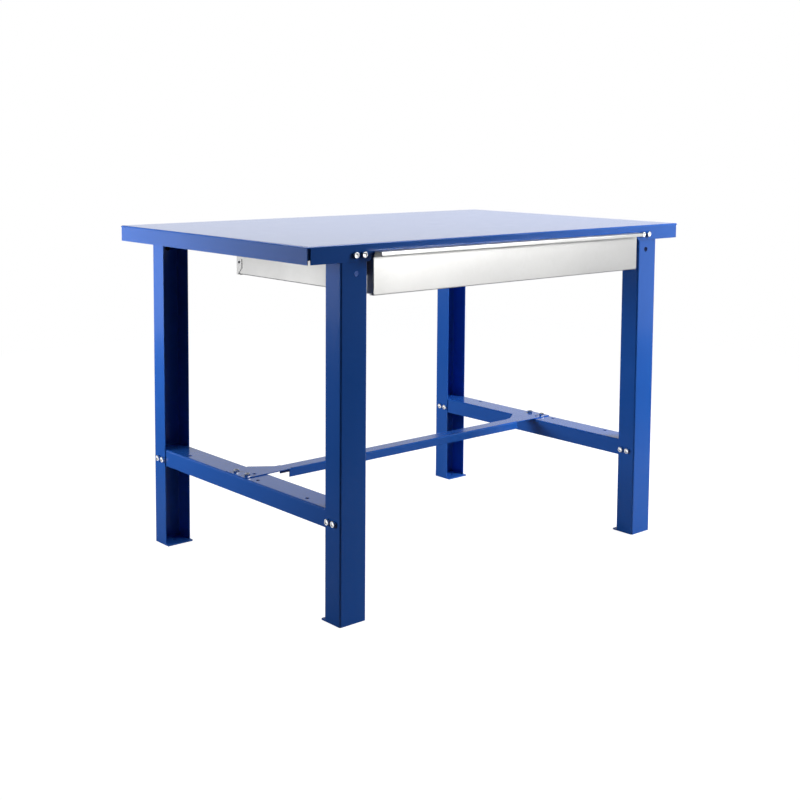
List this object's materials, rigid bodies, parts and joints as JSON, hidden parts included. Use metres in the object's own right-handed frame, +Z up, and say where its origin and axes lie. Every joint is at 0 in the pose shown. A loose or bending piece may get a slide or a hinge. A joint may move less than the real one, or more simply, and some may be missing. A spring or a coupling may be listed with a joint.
{
  "type": "workbench with drawer",
  "caption": "Bolt-together steel workbench with a folded-sheet top, channel legs, a stretcher frame and a galvanised drawer on full-extension ball runners.",
  "frame": {"origin": "on the floor, under the middle of the worktop and midway between the floor anchor holes", "axes": "+X along the length of the bench to its right end, +Y from the drawer's front to the back, +Z up"},
  "size_m": [1.2, 0.7803, 0.8],
  "materials": {
    "blue_paint": "semi-gloss powder coat",
    "galvanised": "satin galvanised sheet with fine spangle",
    "zinc": "bright zinc plate",
    "runner_steel": "zinc-plated rolled steel",
    "rubber": "matt"
  },
  "bodies": {
    "frame": {"worktop": "blue_paint", "front_stiffener": "blue_paint", "middle_stiffener": "blue_paint", "leg_front_left": "blue_paint", "leg_front_right": "blue_paint", "leg_rear_left": "blue_paint", "leg_rear_right": "blue_paint", "foot_plate_front_left": "blue_paint", "foot_plate_front_right": "blue_paint", "foot_plate_rear_left": "blue_paint", "foot_plate_rear_right": "blue_paint", "rear_leg_plugs": "rubber", "side_stretcher_left": "blue_paint", "side_stretcher_right": "blue_paint", "long_stretcher": "blue_paint", "worktop_bolts": "zinc", "worktop_bolt_washers": "zinc", "worktop_bolt_nuts": "zinc", "side_stretcher_bolts_left": "zinc", "side_stretcher_bolts_right": "zinc", "side_stretcher_nuts_left": "zinc", "side_stretcher_nuts_right": "zinc", "long_stretcher_bolts": "zinc", "long_stretcher_washers": "zinc", "long_stretcher_nuts": "zinc", "runner_hanger_left": "galvanised", "runner_hanger_right": "galvanised", "hanger_screws": "zinc", "hanger_nuts": "zinc", "runner_outer_left": "runner_steel", "runner_outer_right": "runner_steel", "runner_screws": "zinc", "runner_stops": "rubber"},
    "drawer": {"drawer_front": "galvanised", "drawer_body": "galvanised", "drawer_back": "galvanised", "drawer_rivets": "zinc", "runner_inner_left": "runner_steel", "runner_inner_right": "runner_steel", "drawer_runner_screws": "zinc"},
    "runner_middle_left": {"runner_middle_left": "runner_steel"},
    "outer_cage_left": {"outer_ball_cage_left": "runner_steel", "outer_balls_left": "zinc"},
    "inner_cage_left": {"inner_ball_cage_left": "runner_steel", "inner_balls_left": "zinc"},
    "runner_middle_right": {"runner_middle_right": "runner_steel"},
    "outer_cage_right": {"outer_ball_cage_right": "runner_steel", "outer_balls_right": "zinc"},
    "inner_cage_right": {"inner_ball_cage_right": "runner_steel", "inner_balls_right": "zinc"}
  },
  "joints": [
    {"name": "drawer_slide", "type": "slide", "parent": "frame", "child": "drawer", "axis": [0, -1, 0], "range_m": [0, 0.48]},
    {"name": "runner_middle_left_slide", "type": "slide", "parent": "frame", "child": "runner_middle_left", "axis": [0, -1, 0], "range_m": [0, 0.24]},
    {"name": "outer_cage_left_slide", "type": "slide", "parent": "frame", "child": "outer_cage_left", "axis": [0, -1, 0], "range_m": [0, 0.12]},
    {"name": "inner_cage_left_slide", "type": "slide", "parent": "frame", "child": "inner_cage_left", "axis": [0, -1, 0], "range_m": [0, 0.36]},
    {"name": "runner_middle_right_slide", "type": "slide", "parent": "frame", "child": "runner_middle_right", "axis": [0, -1, 0], "range_m": [0, 0.24]},
    {"name": "outer_cage_right_slide", "type": "slide", "parent": "frame", "child": "outer_cage_right", "axis": [0, -1, 0], "range_m": [0, 0.12]},
    {"name": "inner_cage_right_slide", "type": "slide", "parent": "frame", "child": "inner_cage_right", "axis": [0, -1, 0], "range_m": [0, 0.36]}
  ],
  "couplings": [
    {"joint": "runner_middle_left_slide", "follows": "drawer_slide", "ratio": 0.5},
    {"joint": "outer_cage_left_slide", "follows": "drawer_slide", "ratio": 0.25},
    {"joint": "inner_cage_left_slide", "follows": "drawer_slide", "ratio": 0.75},
    {"joint": "runner_middle_right_slide", "follows": "drawer_slide", "ratio": 0.5},
    {"joint": "outer_cage_right_slide", "follows": "drawer_slide", "ratio": 0.25},
    {"joint": "inner_cage_right_slide", "follows": "drawer_slide", "ratio": 0.75}
  ]
}
